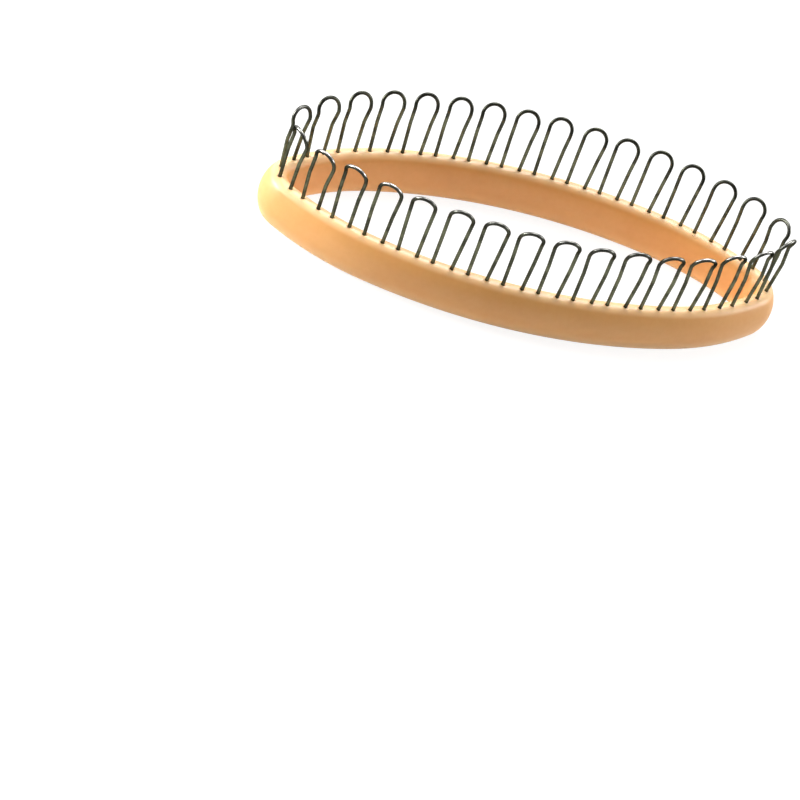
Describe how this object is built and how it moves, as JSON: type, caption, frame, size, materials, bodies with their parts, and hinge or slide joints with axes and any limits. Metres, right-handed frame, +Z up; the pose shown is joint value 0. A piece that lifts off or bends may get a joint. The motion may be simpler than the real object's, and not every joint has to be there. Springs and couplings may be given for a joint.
{
  "type": "sock knitting loom",
  "caption": "Oval hand knitting loom: a moulded plastic ring with bent wire loops standing round its crest as pegs, for knitting socks in the round.",
  "frame": {"origin": "centre of the ring, on the surface that it stands on", "axes": "+X along the ring's long axis, +Y across it, +Z up through the wire loops"},
  "size_m": [0.1822, 0.0728, 0.0407],
  "materials": {
    "ring_plastic": "satin moulded plastic",
    "wire_steel": "bright drawn spring wire"
  },
  "bodies": {
    "root": {"ring": "ring_plastic", "wire_loop_01": "wire_steel", "wire_loop_02": "wire_steel", "wire_loop_03": "wire_steel", "wire_loop_04": "wire_steel", "wire_loop_05": "wire_steel", "wire_loop_06": "wire_steel", "wire_loop_07": "wire_steel", "wire_loop_08": "wire_steel", "wire_loop_09": "wire_steel", "wire_loop_10": "wire_steel", "wire_loop_11": "wire_steel", "wire_loop_12": "wire_steel", "wire_loop_13": "wire_steel", "wire_loop_14": "wire_steel", "wire_loop_15": "wire_steel", "wire_loop_16": "wire_steel", "wire_loop_17": "wire_steel", "wire_loop_18": "wire_steel", "wire_loop_19": "wire_steel", "wire_loop_20": "wire_steel", "wire_loop_21": "wire_steel", "wire_loop_22": "wire_steel", "wire_loop_23": "wire_steel", "wire_loop_24": "wire_steel", "wire_loop_25": "wire_steel", "wire_loop_26": "wire_steel", "wire_loop_27": "wire_steel", "wire_loop_28": "wire_steel", "wire_loop_29": "wire_steel", "wire_loop_30": "wire_steel", "wire_loop_31": "wire_steel", "wire_loop_32": "wire_steel"}
  },
  "joints": []
}
